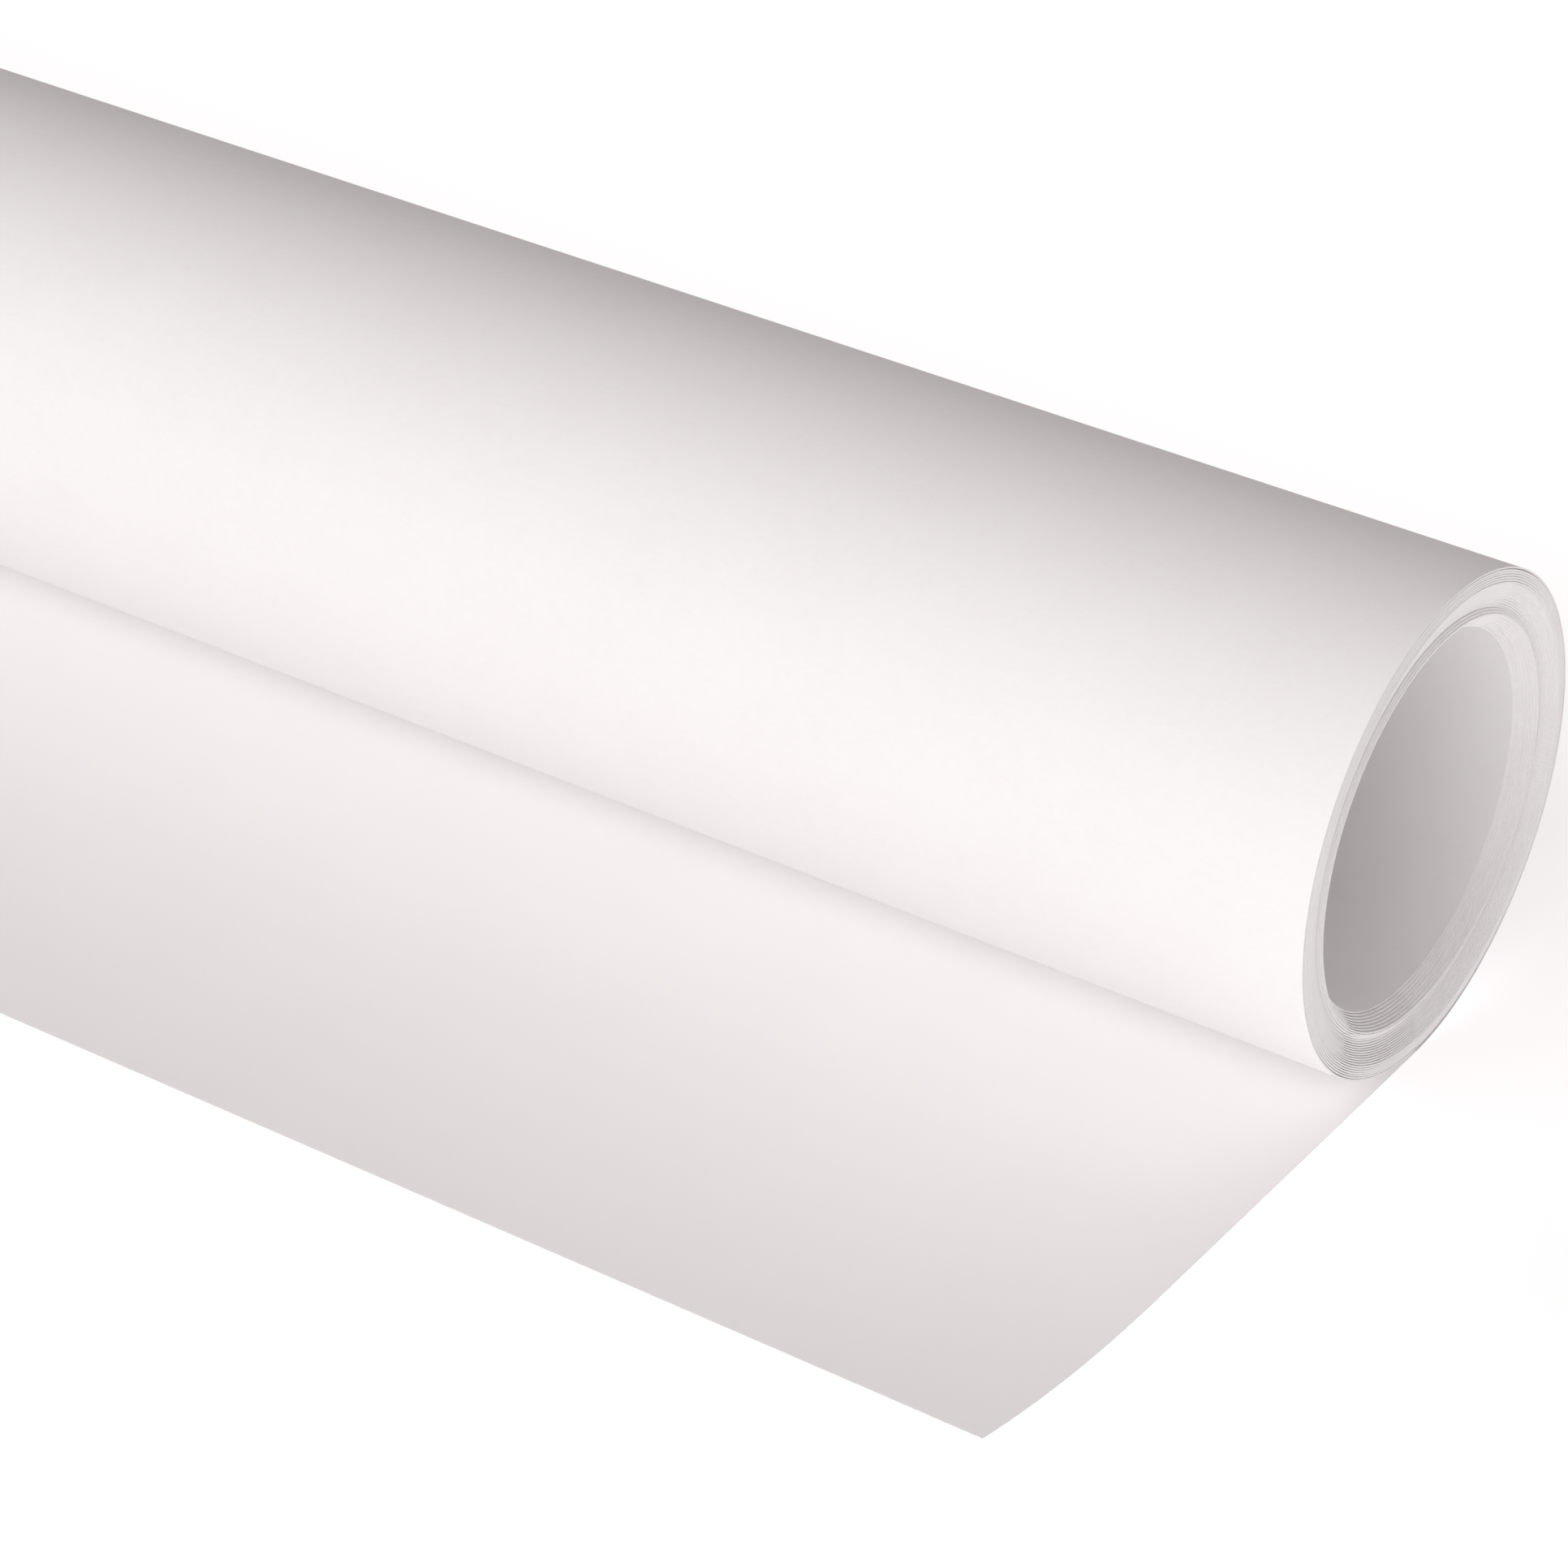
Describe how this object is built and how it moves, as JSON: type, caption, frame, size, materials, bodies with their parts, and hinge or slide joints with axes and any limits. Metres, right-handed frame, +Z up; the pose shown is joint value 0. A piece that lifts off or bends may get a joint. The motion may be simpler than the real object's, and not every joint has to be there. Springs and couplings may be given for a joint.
{
  "type": "backdrop paper roll",
  "caption": "Loosely wound coreless roll of white seamless backdrop paper, with its free end led flat out in front and curling up at the edge.",
  "frame": {"origin": "on the roll's axis, in the open middle, at half the paper's width", "axes": "+X along the roll towards the end with the sunken middle, free end of the paper towards -Y, +Z up"},
  "size_m": [1.354, 0.1631, 0.0806],
  "materials": {
    "paper": "matte"
  },
  "bodies": {
    "leader": {"leader": "paper"},
    "outer_wrap": {"outer_wrap": "paper"},
    "outer_turns": {"turn_21": "paper", "turn_22": "paper", "turn_23": "paper", "turn_24": "paper", "turn_25": "paper", "turn_26": "paper", "turn_27": "paper", "turn_28": "paper", "turn_29": "paper"},
    "middle_turns": {"turn_11": "paper", "turn_12": "paper", "turn_13": "paper", "turn_14": "paper", "turn_15": "paper", "turn_16": "paper", "turn_17": "paper", "turn_18": "paper", "turn_19": "paper", "turn_20": "paper"},
    "inner_turns": {"turn_01": "paper", "turn_02": "paper", "turn_03": "paper", "turn_04": "paper", "turn_05": "paper", "turn_06": "paper", "turn_07": "paper", "turn_08": "paper", "turn_09": "paper", "turn_10": "paper"},
    "lip_1": {"lip_strip_1": "paper"},
    "lip_2": {"lip_strip_2": "paper"},
    "lip_3": {"lip_strip_3": "paper"},
    "lip_4": {"lip_strip_4": "paper"}
  },
  "joints": [
    {"name": "roll_travel", "type": "slide", "parent": "leader", "child": "outer_wrap", "axis": [0, -1, 0], "range_m": [0, 0.06]},
    {"name": "roll_spin", "type": "hinge", "parent": "outer_wrap", "child": "outer_turns", "pos_m": [0, 0, 0], "axis": [1, 0, 0], "range_deg": [0, 86]},
    {"name": "middle_telescope", "type": "slide", "parent": "outer_turns", "child": "middle_turns", "axis": [1, 0, 0], "range_m": [-0.012, 0.012]},
    {"name": "inner_telescope", "type": "slide", "parent": "middle_turns", "child": "inner_turns", "axis": [1, 0, 0], "range_m": [-0.012, 0.012]},
    {"name": "lip_curl_1", "type": "hinge", "parent": "leader", "child": "lip_1", "pos_m": [0, -0.07719, -0.04054], "axis": [-1, 0, 0], "range_deg": [-1.5, 6], "stiffness_Nm_per_rad": 0.8},
    {"name": "lip_curl_2", "type": "hinge", "parent": "lip_1", "child": "lip_2", "pos_m": [0, -0.08873, -0.04022], "axis": [-1, 0, 0], "range_deg": [-3, 12], "stiffness_Nm_per_rad": 0.8},
    {"name": "lip_curl_3", "type": "hinge", "parent": "lip_2", "child": "lip_3", "pos_m": [0, -0.10023, -0.03927], "axis": [-1, 0, 0], "range_deg": [-3, 12], "stiffness_Nm_per_rad": 0.8},
    {"name": "lip_curl_4", "type": "hinge", "parent": "lip_3", "child": "lip_4", "pos_m": [0, -0.11167, -0.03769], "axis": [-1, 0, 0], "range_deg": [-3, 12], "stiffness_Nm_per_rad": 0.8}
  ],
  "couplings": [
    {"joint": "roll_spin", "follows": "roll_travel", "rad_per_m": 24.795},
    {"joint": "lip_curl_2", "follows": "lip_curl_1", "ratio": 2},
    {"joint": "lip_curl_3", "follows": "lip_curl_1", "ratio": 2},
    {"joint": "lip_curl_4", "follows": "lip_curl_1", "ratio": 2}
  ]
}
